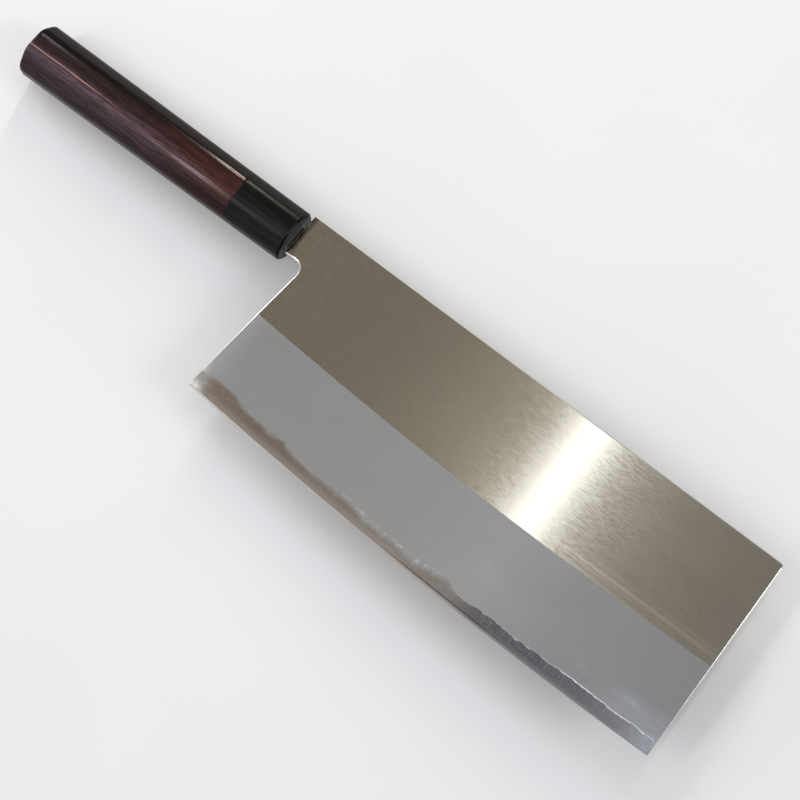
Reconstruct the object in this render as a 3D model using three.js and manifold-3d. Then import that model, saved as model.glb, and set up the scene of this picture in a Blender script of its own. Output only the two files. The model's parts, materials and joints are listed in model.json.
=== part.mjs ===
// Chinese cleaver: a three-layer blade on an octagonal wooden handle, in millimetres.
// +X runs along the blade to its front end, +Y points to the spine, +Z out of the right face.
// It is drawn from the blade's shoulder, on the handle's axis and in the blade's middle plane,
// and the whole is then set down on z = 0 with its outline centred on the origin.

import * as THREE from 'three';
import { mergeVertices } from 'three/addons/utils/BufferGeometryUtils.js';
import Module from 'manifold-3d';

// Blade outline
const EDGE_LENGTH = 220; // heel corner to front corner, along the blade
const HEEL_SETBACK = 4.2; // heel corner ahead of the shoulder
const HEEL_DEPTH = 71.8; // heel corner below the handle's axis
const FRONT_DEPTH = 77.7; // front corner of the edge below the handle's axis
const EDGE_BELLY = 3; // how far the edge bows out from its chord
const SPINE_HEIGHT = 11.6; // spine above the handle's axis at the shoulder
const SPINE_DROP = 2; // spine lower at the front than at the shoulder
const NECK_HEIGHT = 19; // spine to the neck's underside
const NECK_LENGTH = 9.5; // shoulder to the corner where neck and heel meet
const CHOIL_RADIUS = 4.8; // round between the neck and the heel
const CORNER_RADIUS = 1.5; // the spine's front corner
const EDGE_CORNER_RADIUS = 0.5; // heel corner and the edge's front corner
const SHOULDER_RADIUS = 0.4; // the two corners that face the ferrule

// Blade thickness and grind
const NECK_THICKNESS = 2.8;
const FRONT_THICKNESS = 1.8;
const CORE_THICKNESS = 0.56;
const HEEL_BEVEL = 38.5; // height of the wide bevel at the heel
const FRONT_BEVEL = 40.1; // and at the front
const EDGE_BEVEL = 0.9; // height of the narrow bevel on the cutting edge
const EDGE_BEVEL_THICKNESS = 0.26;
const EDGE_LAND = 0.04; // flat left on the cutting edge itself

// Tang
const TANG_HEIGHT = 9;
const TANG_END_HEIGHT = 6;
const TANG_STEP = 0.2; // step from the neck's face in to the tang's
const TANG_END_THICKNESS = 1.8;
const TANG_ROOT = 3; // how far the tang's block reaches into the neck

// Handle, an octagon that narrows from the butt to the ferrule's front
const SHOULDER_GAP = 1.1; // ferrule's front to the blade's shoulder
const HANDLE_LENGTH = 134.5;
const FERRULE_LENGTH = 27.5;
const BUTT_HEIGHT = 23.6;
const BUTT_WIDTH = 20.6;
const FRONT_HEIGHT = 21.8;
const FRONT_WIDTH = 19;
const RIDGE_CUT = 6.5; // how far each slanted facet cuts the corner
const RIDGE_RADIUS = 6;
const BUTT_CHAMFER = 1;
const FERRULE_CHAMFER = 0.8;

// Joint of tang, dowel and handle
const FERRULE_WEB = 6; // front wall of the ferrule, round the tang's slot
const TANG_CLEARANCE = 0.3; // tang to the bond and to the seal
const BOND_WALL = 0.8; // bond and seal beside the tang's root
const BOND_END = 2; // bond past the tang's end
const DOWEL_WALL = 1; // dowel outside the corners of its slot
const DOWEL_END = 4; // solid end of the dowel
const DOWEL_CLEARANCE = 0.1;
const BUTT_WALL = 30; // solid wood behind the dowel
const SEAL_RECESS = 0.5; // seal behind the ferrule's front

// Steps of the round stretches
const EDGE_STEPS = 24;
const CORNER_STEPS = 6;
const RIDGE_STEPS = 4;
const ROD_SIDES = 40;
const OVERCUT = 2; // how far a cutting body reaches past what it cuts

// Places that follow from these sizes
const FRONT_X = HEEL_SETBACK + EDGE_LENGTH;
const NECK_UNDERSIDE = SPINE_HEIGHT - NECK_HEIGHT;
const BLADE_BOTTOM = -Math.max(HEEL_DEPTH, FRONT_DEPTH) - EDGE_BELLY;
const STOCK_HALF = Math.max(NECK_THICKNESS, FRONT_THICKNESS) / 2 + OVERCUT;
const TANG_THICKNESS = NECK_THICKNESS - 2 * TANG_STEP;
const FERRULE_FRONT_X = -SHOULDER_GAP;
const WEB_BACK_X = FERRULE_FRONT_X - FERRULE_WEB;
const JUNCTION_X = FERRULE_FRONT_X - FERRULE_LENGTH;
const BUTT_X = FERRULE_FRONT_X - HANDLE_LENGTH;
const BORE_END_X = BUTT_X + BUTT_WALL;
const DOWEL_END_X = BORE_END_X + DOWEL_CLEARANCE;
const SLOT_END_X = DOWEL_END_X + DOWEL_END;
const TANG_END_X = SLOT_END_X + BOND_END + TANG_CLEARANCE;
const SLOT_HEIGHT = TANG_HEIGHT + 2 * (TANG_CLEARANCE + BOND_WALL);
const SLOT_WIDTH = TANG_THICKNESS + 2 * (TANG_CLEARANCE + BOND_WALL);
const DOWEL_DIAMETER = Math.hypot(SLOT_HEIGHT, SLOT_WIDTH) + 2 * DOWEL_WALL;
const BORE_DIAMETER = DOWEL_DIAMETER + 2 * DOWEL_CLEARANCE;

const wasm = await Module();
wasm.setup();

// A closed geometry as a solid that can be joined and cut.
function solid(geometry) {
  const bare = geometry.clone();
  bare.deleteAttribute('normal');
  bare.deleteAttribute('uv');
  const merged = mergeVertices(bare);
  return new wasm.Manifold(new wasm.Mesh({
    numProp: 3,
    vertProperties: new Float32Array(merged.attributes.position.array),
    triVerts: new Uint32Array(merged.index.array),
  }));
}

function geometryOf(body) {
  const { vertProperties, triVerts } = body.getMesh();
  const geometry = new THREE.BufferGeometry();
  geometry.setAttribute('position', new THREE.BufferAttribute(vertProperties, 3));
  geometry.setIndex(new THREE.BufferAttribute(triVerts, 1));
  geometry.computeVertexNormals();
  return geometry;
}

// A closed outline through corners, each { point, radius }, with its corners rounded.
function roundedShape(corners) {
  const shape = new THREE.Shape();
  corners.forEach(({ point, radius }, i) => {
    const back = corners.at(i - 1).point.clone().sub(point);
    const ahead = corners[(i + 1) % corners.length].point.clone().sub(point);
    const tangent = radius / Math.tan(back.angleTo(ahead) / 2);
    const reach = Math.min(tangent, back.length() / 2, ahead.length() / 2);
    const start = point.clone().addScaledVector(back.normalize(), reach);
    const end = point.clone().addScaledVector(ahead.normalize(), reach);
    if (i === 0) shape.moveTo(start.x, start.y);
    else shape.lineTo(start.x, start.y);
    if (reach > 0) shape.quadraticCurveTo(point.x, point.y, end.x, end.y);
  });
  shape.closePath();
  return shape;
}

// A solid skin over rings of points, which stand across X in rising order.
function loft(rings) {
  const count = rings[0].length;
  const last = (rings.length - 1) * count;
  const index = [];
  for (let start = 0; start < last; start += count) {
    for (let i = 0; i < count; i += 1) {
      const a = start + i;
      const b = start + ((i + 1) % count);
      index.push(a, b, b + count, a, b + count, a + count);
    }
  }
  for (let i = 1; i + 1 < count; i += 1) {
    index.push(0, i + 1, i, last, last + i, last + i + 1);
  }
  const geometry = new THREE.BufferGeometry();
  geometry.setFromPoints(rings.flat());
  geometry.setIndex(index);
  return geometry;
}

function block(low, high) {
  const size = high.clone().sub(low);
  const middle = high.clone().add(low).divideScalar(2);
  return new THREE.BoxGeometry(size.x, size.y, size.z).translate(middle.x, middle.y, middle.z);
}

// A block centred on the handle's axis, from one place along it to another.
function axialBlock(fromX, toX, height, width) {
  const low = new THREE.Vector3(fromX, -height / 2, -width / 2);
  const high = new THREE.Vector3(toX, height / 2, width / 2);
  return block(low, high);
}

function rod(fromX, toX, diameter) {
  const radius = diameter / 2;
  const geometry = new THREE.CylinderGeometry(radius, radius, toX - fromX, ROD_SIDES);
  return geometry.rotateZ(-Math.PI / 2).translate((fromX + toX) / 2, 0, 0);
}

// The cutting edge, bowed evenly between the heel corner and the front corner.
function edgeCurve() {
  const heel = new THREE.Vector2(HEEL_SETBACK, -HEEL_DEPTH);
  const front = new THREE.Vector2(FRONT_X, -FRONT_DEPTH);
  const middle = heel.clone().add(front).divideScalar(2);
  const bow = new THREE.Vector2(middle.x, middle.y - 2 * EDGE_BELLY);
  return new THREE.QuadraticBezierCurve(heel, bow, front);
}

function halfThickness(x) {
  return THREE.MathUtils.lerp(NECK_THICKNESS, FRONT_THICKNESS, x / FRONT_X) / 2;
}

// The blade's outline, from the shoulder along spine, front, edge and heel to the neck.
function bladeOutline() {
  const corner = (x, y, radius) => ({ point: new THREE.Vector2(x, y), radius });
  const edge = edgeCurve().getPoints(EDGE_STEPS).reverse();
  const lastStep = edge.length - 1;
  const edgeCorners = edge.map((point, i) => {
    const isEnd = i === 0 || i === lastStep;
    return { point, radius: isEnd ? EDGE_CORNER_RADIUS : 0 };
  });
  return roundedShape([
    corner(0, SPINE_HEIGHT, SHOULDER_RADIUS),
    corner(FRONT_X, SPINE_HEIGHT - SPINE_DROP, CORNER_RADIUS),
    ...edgeCorners,
    corner(NECK_LENGTH, NECK_UNDERSIDE, CHOIL_RADIUS),
    corner(0, NECK_UNDERSIDE, SHOULDER_RADIUS),
  ]);
}

// The blade's section at one place: narrow bevel, wide bevel and flats, past the spine.
function groundSection(x, edgeY, bevel) {
  const half = halfThickness(x);
  const edgeHalf = EDGE_BEVEL_THICKNESS / 2;
  const landHalf = EDGE_LAND / 2;
  const apexY = edgeY - (EDGE_BEVEL * landHalf) / (edgeHalf - landHalf);
  const topY = SPINE_HEIGHT + OVERCUT;
  return [
    new THREE.Vector3(x, apexY, 0),
    new THREE.Vector3(x, edgeY + EDGE_BEVEL, -edgeHalf),
    new THREE.Vector3(x, edgeY + bevel, -half),
    new THREE.Vector3(x, topY, -half),
    new THREE.Vector3(x, topY, half),
    new THREE.Vector3(x, edgeY + bevel, half),
    new THREE.Vector3(x, edgeY + EDGE_BEVEL, edgeHalf),
  ];
}

// Stock ground to its bevels along the edge, cut to the blade's outline.
function bladeSolid() {
  const edge = edgeCurve();
  const sections = [groundSection(-OVERCUT, -HEEL_DEPTH, HEEL_BEVEL)];
  for (let i = 0; i <= EDGE_STEPS; i += 1) {
    const share = i / EDGE_STEPS;
    const place = edge.getPoint(share);
    const bevel = THREE.MathUtils.lerp(HEEL_BEVEL, FRONT_BEVEL, share);
    sections.push(groundSection(place.x, place.y, bevel));
  }
  sections.push(groundSection(FRONT_X + OVERCUT, -FRONT_DEPTH, FRONT_BEVEL));
  const options = { depth: 2 * STOCK_HALF, bevelEnabled: false, curveSegments: CORNER_STEPS };
  const blank = new THREE.ExtrudeGeometry(bladeOutline(), options).translate(0, 0, -STOCK_HALF);
  return solid(loft(sections)).intersect(solid(blank));
}

// The tapered tang, or the space round it where a clearance is given.
function tangGeometry(clearance) {
  const section = (x, height, width) => {
    const y = height / 2 + clearance;
    const z = width / 2 + clearance;
    return [
      new THREE.Vector3(x, -y, -z),
      new THREE.Vector3(x, y, -z),
      new THREE.Vector3(x, y, z),
      new THREE.Vector3(x, -y, z),
    ];
  };
  return loft([
    section(TANG_END_X - clearance, TANG_END_HEIGHT, TANG_END_THICKNESS),
    section(0, TANG_HEIGHT, TANG_THICKNESS),
    section(TANG_ROOT, TANG_HEIGHT, TANG_THICKNESS),
  ]);
}

// One layer of the forging, between two heights on the blade's middle plane.
function layer(forging, lowZ, highZ) {
  const low = new THREE.Vector3(TANG_END_X - OVERCUT, BLADE_BOTTOM - OVERCUT, lowZ);
  const high = new THREE.Vector3(FRONT_X + OVERCUT, SPINE_HEIGHT + OVERCUT, highZ);
  return geometryOf(forging.intersect(solid(block(low, high))));
}

// The handle's octagon at one place along it, drawn in by an inset.
function handleRing(x, inset = 0) {
  const share = (x - BUTT_X) / HANDLE_LENGTH;
  const y = THREE.MathUtils.lerp(BUTT_HEIGHT, FRONT_HEIGHT, share) / 2 - inset;
  const z = THREE.MathUtils.lerp(BUTT_WIDTH, FRONT_WIDTH, share) / 2 - inset;
  const cut = RIDGE_CUT - inset * (2 - Math.SQRT2);
  const corners = [
    [y, cut - z], [y, z - cut], [y - cut, z], [cut - y, z],
    [-y, z - cut], [-y, cut - z], [cut - y, -z], [y - cut, -z],
  ];
  const shape = roundedShape(corners.map(([cornerY, cornerZ]) => ({
    point: new THREE.Vector2(cornerY, cornerZ),
    radius: RIDGE_RADIUS,
  })));
  const points = shape.getPoints(RIDGE_STEPS).slice(0, -1);
  return points.map((point) => new THREE.Vector3(x, point.x, point.y));
}

function ferruleGeometry() {
  const outside = loft([
    handleRing(JUNCTION_X),
    handleRing(FERRULE_FRONT_X - FERRULE_CHAMFER),
    handleRing(FERRULE_FRONT_X, FERRULE_CHAMFER),
  ]);
  const bore = rod(JUNCTION_X - OVERCUT, WEB_BACK_X, BORE_DIAMETER);
  const slot = axialBlock(WEB_BACK_X - OVERCUT, OVERCUT, SLOT_HEIGHT, SLOT_WIDTH);
  return geometryOf(solid(outside).subtract(solid(bore)).subtract(solid(slot)));
}

function handleBodyGeometry() {
  const outside = loft([
    handleRing(BUTT_X, BUTT_CHAMFER),
    handleRing(BUTT_X + BUTT_CHAMFER),
    handleRing(JUNCTION_X),
  ]);
  const bore = rod(BORE_END_X, JUNCTION_X + OVERCUT, BORE_DIAMETER);
  return geometryOf(solid(outside).subtract(solid(bore)));
}

function dowelGeometry() {
  const round = rod(DOWEL_END_X, WEB_BACK_X, DOWEL_DIAMETER);
  const slot = axialBlock(SLOT_END_X, WEB_BACK_X + OVERCUT, SLOT_HEIGHT, SLOT_WIDTH);
  return geometryOf(solid(round).subtract(solid(slot)));
}

// Adhesive or resin that fills the slot round the tang, between two places along it.
function slotFilling(fromX, toX) {
  const filling = axialBlock(fromX, toX, SLOT_HEIGHT, SLOT_WIDTH);
  return geometryOf(solid(filling).subtract(solid(tangGeometry(TANG_CLEARANCE))));
}

function piece(name, geometry, color, roughness, metalness) {
  const material = new THREE.MeshStandardMaterial({ color, roughness, metalness });
  const mesh = new THREE.Mesh(geometry, material);
  mesh.name = name;
  return mesh;
}

const cleaver = new THREE.Group();
const forging = bladeSolid().add(solid(tangGeometry(0)));
const coreHalf = CORE_THICKNESS / 2;
cleaver.add(
  piece('core_steel', layer(forging, -coreHalf, coreHalf), 0x77747a, 0.35, 1),
  piece('right_cladding', layer(forging, coreHalf, STOCK_HALF), 0x8d8a84, 0.42, 1),
  piece('left_cladding', layer(forging, -STOCK_HALF, -coreHalf), 0x8d8a84, 0.42, 1),
  piece('ferrule', ferruleGeometry(), 0x17171a, 0.35, 0),
  piece('handle_body', handleBodyGeometry(), 0x3d2422, 0.45, 0),
  piece('dowel', dowelGeometry(), 0xb89868, 0.75, 0),
  piece('tang_bond', slotFilling(SLOT_END_X, WEB_BACK_X), 0xc9b27a, 0.5, 0),
  piece('tang_seal', slotFilling(WEB_BACK_X, FERRULE_FRONT_X - SEAL_RECESS), 0x0d0d0e, 0.6, 0),
);

// The handle's lower facet lies on z = 0, and the outline is centred on the origin.
const outline = new THREE.Box3().setFromObject(cleaver);
const centre = outline.getCenter(new THREE.Vector3());
cleaver.position.set(-centre.x, -centre.y, -outline.min.z);

export default cleaver;
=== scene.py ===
"""Chinese cleaver, dressed for its portrait: a laminated blade on an octagonal rosewood handle.

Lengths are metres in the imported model's frame. The blade is laid out from its shoulder, where the neck's
end meets the handle's axis: +X runs to the front end, +Y to the spine, +Z out of the right face.
"""
import json
import math
from bisect import bisect_right

import bpy
from mathutils import Matrix, Vector
from mathutils.geometry import delaunay_2d_cdt

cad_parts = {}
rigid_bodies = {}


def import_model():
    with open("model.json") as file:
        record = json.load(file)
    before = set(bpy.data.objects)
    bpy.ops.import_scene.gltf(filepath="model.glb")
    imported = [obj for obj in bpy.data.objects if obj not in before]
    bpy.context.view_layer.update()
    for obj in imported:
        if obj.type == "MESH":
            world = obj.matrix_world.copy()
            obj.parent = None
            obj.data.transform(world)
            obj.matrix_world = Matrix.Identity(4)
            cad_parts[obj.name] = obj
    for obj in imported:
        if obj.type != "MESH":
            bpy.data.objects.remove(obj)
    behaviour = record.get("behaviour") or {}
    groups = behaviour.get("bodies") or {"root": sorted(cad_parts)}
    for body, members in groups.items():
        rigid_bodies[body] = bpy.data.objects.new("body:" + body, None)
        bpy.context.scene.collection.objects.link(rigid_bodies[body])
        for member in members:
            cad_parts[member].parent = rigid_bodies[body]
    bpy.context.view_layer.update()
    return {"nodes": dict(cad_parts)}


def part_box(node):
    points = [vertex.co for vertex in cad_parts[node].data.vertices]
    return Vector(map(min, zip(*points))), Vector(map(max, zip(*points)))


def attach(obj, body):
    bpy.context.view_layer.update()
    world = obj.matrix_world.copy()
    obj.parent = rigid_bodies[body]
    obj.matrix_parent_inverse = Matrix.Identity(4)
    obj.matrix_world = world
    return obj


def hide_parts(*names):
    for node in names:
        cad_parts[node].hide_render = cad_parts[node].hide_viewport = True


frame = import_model()
MM = 0.001
SQUARE = ((-1, -1), (1, -1), (1, 1), (-1, 1))  # signs of its corners, in turn

# Blade outline
EDGE_LENGTH = 220 * MM
HEEL_SETBACK = 4.2 * MM
HEEL_DEPTH = 71.8 * MM
FRONT_DEPTH = 77.7 * MM
EDGE_BELLY = 3 * MM
SPINE_HEIGHT = 11.6 * MM
SPINE_DROP = 2 * MM
NECK_HEIGHT = 19 * MM
NECK_LENGTH = 9.5 * MM
CHOIL_RADIUS = 4.8 * MM
CORNER_RADIUS = 1.5 * MM
EDGE_CORNER_RADIUS = 0.5 * MM
EDGE_SAMPLE = EDGE_LENGTH / 24  # stretch of the edge that gives its direction at a corner
SHOULDER_RADIUS = 0.4 * MM
FRONT_X = HEEL_SETBACK + EDGE_LENGTH
NECK_UNDERSIDE = SPINE_HEIGHT - NECK_HEIGHT

# Blade thickness and grind
NECK_THICKNESS = 2.8 * MM
FRONT_THICKNESS = 1.8 * MM
CORE_THICKNESS = 0.56 * MM
HEEL_BEVEL = 38.5 * MM
FRONT_BEVEL = 40.1 * MM
EDGE_BEVEL = 0.9 * MM
EDGE_BEVEL_THICKNESS = 0.26 * MM
EDGE_LAND = 0.04 * MM
CLAD_FEATHER = 0.8  # share of the half thickness that is core where the cladding runs out

# Eased corners of the blade's outline
CHOIL_EASE = 0.7 * MM
SHOULDER_EASE = 0.2 * MM
SPINE_EASE = 0.45 * MM
EASE_STEPS = 3
RIM_STEP = 1.2 * MM
LINE_STEP = 0.45 * MM
CORNER_STEPS = 8
CLAD_EASE_LIMIT = 0.9  # share of its thickness that the cladding's rim may lose
CORE_EASE_LIMIT = 0.8  # the same for the core, of half its thickness
MERGE_DISTANCE = 1e-6  # in millimetres, for points of the plan

# Numbers of the finishes on the cladding and on the core
FLAT, BEVEL, CLAD_RIM = range(3)
BARE_EDGE, CORE_RIM = range(2)

# Line where the core comes out of the cladding, in millimetres above the edge
LINE_RISE = 5.3
LINE_SWELLS = [  # place along the blade, half width, rise
    (13, 13, 2.9), (20, 4, 1.2), (35, 9, 1.0), (47.5, 3.2, 1.8), (64, 3, -0.8), (81, 9, 1.0),
    (92, 4, -0.5), (114, 5, -0.8), (121, 3, 0.5), (127.5, 4, 1.6), (138, 4, -1.0), (150, 4, 0.2),
    (161.5, 1.6, -0.7), (172, 3, 0.2), (182, 2, 0.5), (191, 8, 0.5), (214, 3, 0.5),
]
LINE_SCALLOP = 0.4
LINE_RIPPLE = 0.16
LINE_NICK = 0.09

# Map along which the flat is brushed
BRUSHING = "brushing"
MAP_SCALE = 10  # map units in a metre
MAP_LEAN = 1 / 3  # keeps the map of upright walls from folding up

# Tang
TANG_HEIGHT = 9 * MM
TANG_END_HEIGHT = 6 * MM
TANG_THICKNESS = 2.4 * MM
TANG_END_THICKNESS = 1.8 * MM

# Handle
HANDLE_LENGTH = 134.5 * MM
BUTT_HEIGHT = 23.6 * MM
BUTT_WIDTH = 20.6 * MM
FRONT_HEIGHT = 21.8 * MM
RIDGE_CUT = 6.5 * MM
RIDGE_RADIUS = 6 * MM
BUTT_ROUND = 1.2 * MM
FERRULE_CHAMFER = 0.8 * MM
JOINT_EASE = 0.12 * MM
BORE_RADIUS = 7.15 * MM
OVERCUT = 2 * MM
SEAL_FILM = 0.06 * MM
SEAL_RECESS = 0.15 * MM
SEAL_STEPS = 8
SEAL_CREEP = 4  # power by which the black film climbs the tang
RIDGE_STEPS = 5
BAR_RINGS = 64
BORE_SIDES = 64
CREASE_ANGLE = math.radians(32)
BAR_LENGTHS = [
    "Back", "Front", "Height", "Width", "Taper Start", "Taper", "Ridge Cut", "Ridge Radius",
    "Back Round", "Front Chamfer", "Bore Radius", "Bore From", "Bore To", "Slot From", "Slot To",
    "Slot Height", "Slot Width",
]

# Places read off the frame
core_low, core_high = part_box("core_steel")
ferrule_low, ferrule_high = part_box("ferrule")
handle_low, handle_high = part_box("handle_body")
dowel_low, dowel_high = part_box("dowel")
seal_low, seal_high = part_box("tang_seal")
HANDLE_Y = (handle_low.y + handle_high.y) / 2
MIDDLE_Z = (core_low.z + core_high.z) / 2
SHOULDER = Vector((core_high.x - FRONT_X, HANDLE_Y, MIDDLE_Z))
TANG_END_X = core_low.x - SHOULDER.x
SLOT_HEIGHT = seal_high.y - seal_low.y
SLOT_WIDTH = seal_high.z - seal_low.z

# Floor on which the knife lies on its ferrule and on the blade's front end
FLOOR_PITCH = math.radians(2.0)
FLOOR_ROLL = math.radians(1.1)
FLOOR_SIZE = 30

# Camera, from the shoulder
CAMERA_EYE = Vector((178.2, -151.9, 590.0)) * MM
CAMERA_AIM = Vector((72.3, -27.1, 0)) * MM
CAMERA_ROLL = math.radians(38.8)
CAMERA_LENS = 72
SENSOR_WIDTH = 36
CAMERA_NEAR = 10 * MM

# Lamps: the strip in the blade's bright band, then boxes for the handle's ridges and butt and the rims.
# Each has its place and aim in millimetres from the shoulder, size in metres, watts and tint.
SOFTBOXES = [
    ("band_strip", (83, 0, 900), (83, 0, 0), (0.025, 1.6), 1.3, (0.75, 0.84, 0.98)),
    ("upper_ridge_box", (-527, 1233, 720), (-37, 5, 10), (0.04, 0.7), 7.2, (1, 0.92, 0.76)),
    ("butt_box", (-806, 683, 1162), (-131, 3, 10), (0.05, 0.45), 1.6, (0.75, 0.87, 1)),
    ("butt_rim_box", (-1385, -275, 270), (-134, -5, 10), (0.15, 0.15), 2, (0.9, 0.95, 1)),
    ("lower_ridge_box", (-566, -720, 1230), (-54, -5, 10), (0.045, 0.8), 5.2, (1, 0.95, 0.96)),
    ("heel_box", (-1200, 300, 450), (5, -40, 0), (0.5, 0.5), 4, (1, 0.99, 0.97)),
    ("front_box", (1150, 240, 720), (224, -20, 0), (0.5, 0.5), 4, (0.97, 0.98, 1)),
]


def lerp(low, high, share):
    return low + (high - low) * share


def clamp(share):
    return min(max(share, 0), 1)


# Blade shape


def edge_share(x):
    """How far along the edge a place is, from 0 at the heel to 1 at the front."""
    return clamp((x - HEEL_SETBACK) / EDGE_LENGTH)


def edge_y(x):
    """Height of the cutting edge, bowed out between its two corners."""
    share = edge_share(x)
    return -lerp(HEEL_DEPTH, FRONT_DEPTH, share) - 4 * EDGE_BELLY * share * (1 - share)


def bevel_height(x):
    """Height of the wide bevel above the edge."""
    return lerp(HEEL_BEVEL, FRONT_BEVEL, edge_share(x))


def line_height(x):
    """Wandering height above the edge at which the core comes out of the cladding."""
    place = x / MM
    rise = LINE_RISE
    for middle, half_width, swell in LINE_SWELLS:
        rise += swell * math.exp(-((place - middle) / half_width) ** 2)
    scallop = abs(math.sin(place / 3.1 + 0.8 * math.sin(place / 9)))
    ripple = math.sin(place / 1.13 + math.sin(place / 2.9))
    nick = math.sin(place / 0.47)
    return (rise + LINE_SCALLOP * scallop + LINE_RIPPLE * ripple + LINE_NICK * nick) * MM


# Heights above the edge: the last, the narrow edge bevel's, is the same all along.
GRIND_LINES = (bevel_height, line_height, lambda x: EDGE_BEVEL)


def face_height(x, y):
    """Half the blade's ground thickness at a point of its plan."""
    above = y - edge_y(x)
    flat = lerp(NECK_THICKNESS, FRONT_THICKNESS, clamp(x / FRONT_X)) / 2
    if above < EDGE_BEVEL:
        return lerp(EDGE_LAND, EDGE_BEVEL_THICKNESS, above / EDGE_BEVEL) / 2
    share = clamp((above - EDGE_BEVEL) / (bevel_height(x) - EDGE_BEVEL))
    return lerp(EDGE_BEVEL_THICKNESS / 2, flat, share)


def core_height(x, y):
    """Half the core's thickness, which thins out with the grind."""
    return min(CORE_THICKNESS / 2, CLAD_FEATHER * face_height(x, y))


def rounded_corner(before, corner, after, radius):
    """Points of the round that takes the place of a corner."""
    back = before - corner
    ahead = after - corner
    reach = radius / math.tan(back.angle(ahead) / 2)
    start = corner + back.normalized() * reach
    end = corner + ahead.normalized() * reach
    shares = [step / CORNER_STEPS for step in range(CORNER_STEPS + 1)]
    return [start.lerp(corner, share).lerp(corner.lerp(end, share), share) for share in shares]


def edge_point(x):
    return Vector((x, edge_y(x)))


def with_crossings(points, eases):
    """The chain again, with a point added wherever a line of the grind meets it."""
    for height_of in GRIND_LINES:
        gaps = [p.y - edge_y(p.x) - height_of(p.x) for p in points]
        for i in reversed(range(len(points) - 1)):
            if gaps[i] * gaps[i + 1] < 0:
                share = gaps[i] / (gaps[i] - gaps[i + 1])
                points.insert(i + 1, points[i].lerp(points[i + 1], share))
                eases.insert(i + 1, lerp(eases[i], eases[i + 1], share))
    return points, eases


def blade_rim():
    """Outline from the heel round by neck, spine and front, and how far each point is eased."""
    heel = edge_point(HEEL_SETBACK)
    front = edge_point(FRONT_X)
    corners = [
        (Vector((NECK_LENGTH, NECK_UNDERSIDE)), CHOIL_RADIUS, CHOIL_EASE),
        (Vector((0, NECK_UNDERSIDE)), SHOULDER_RADIUS, SHOULDER_EASE),
        (Vector((0, SPINE_HEIGHT)), SHOULDER_RADIUS, SHOULDER_EASE),
        (Vector((FRONT_X, SPINE_HEIGHT - SPINE_DROP)), CORNER_RADIUS, SPINE_EASE),
    ]
    near_heel = edge_point(HEEL_SETBACK + EDGE_SAMPLE)
    near_front = edge_point(FRONT_X - EDGE_SAMPLE)
    heel_round = rounded_corner(near_heel, heel, corners[0][0], EDGE_CORNER_RADIUS)
    front_round = rounded_corner(corners[-1][0], front, near_front, EDGE_CORNER_RADIUS)
    places = [heel] + [corner[0] for corner in corners] + [front]
    points = [heel_round[-1]]
    eases = [0]
    for i, (place, radius, ease) in enumerate(corners):
        turn = rounded_corner(places[i], place, places[i + 2], radius)
        add_straight(points, eases, turn[0], ease)
        points += turn
        eases += [ease] * len(turn)
    add_straight(points, eases, front_round[0], 0)
    points.append(front_round[0])
    eases.append(0)
    points, eases = with_crossings(points, eases)
    edge = [edge_point(x) for x in spaced(front_round[-1].x, heel_round[0].x, RIM_STEP)]
    edge_chain = front_round[:-1] + edge + heel_round[1:]
    edge_chain, _ = with_crossings(edge_chain, [0] * len(edge_chain))
    return points, eases, edge_chain[1:-1]


def add_straight(points, eases, end, end_ease):
    """Carries the outline straight on to just before the next corner."""
    start = points[-1]
    start_ease = eases[-1]
    for share in spaced(0, 1, RIM_STEP / (end - start).length)[1:-1]:
        points.append(start.lerp(end, share))
        eases.append(lerp(start_ease, end_ease, share))


def spaced(start, end, step):
    """Even places from a start to an end, both included."""
    count = max(1, round(abs(end - start) / step))
    return [lerp(start, end, i / count) for i in range(count + 1)]


def inward_normals(points):
    """Unit normals of an open chain that runs clockwise round the blade, pointing into it."""
    normals = []
    for i in range(len(points)):
        along = points[min(i + 1, len(points) - 1)] - points[max(i - 1, 0)]
        normals.append(Vector((along.y, -along.x)).normalized())
    return normals


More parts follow.
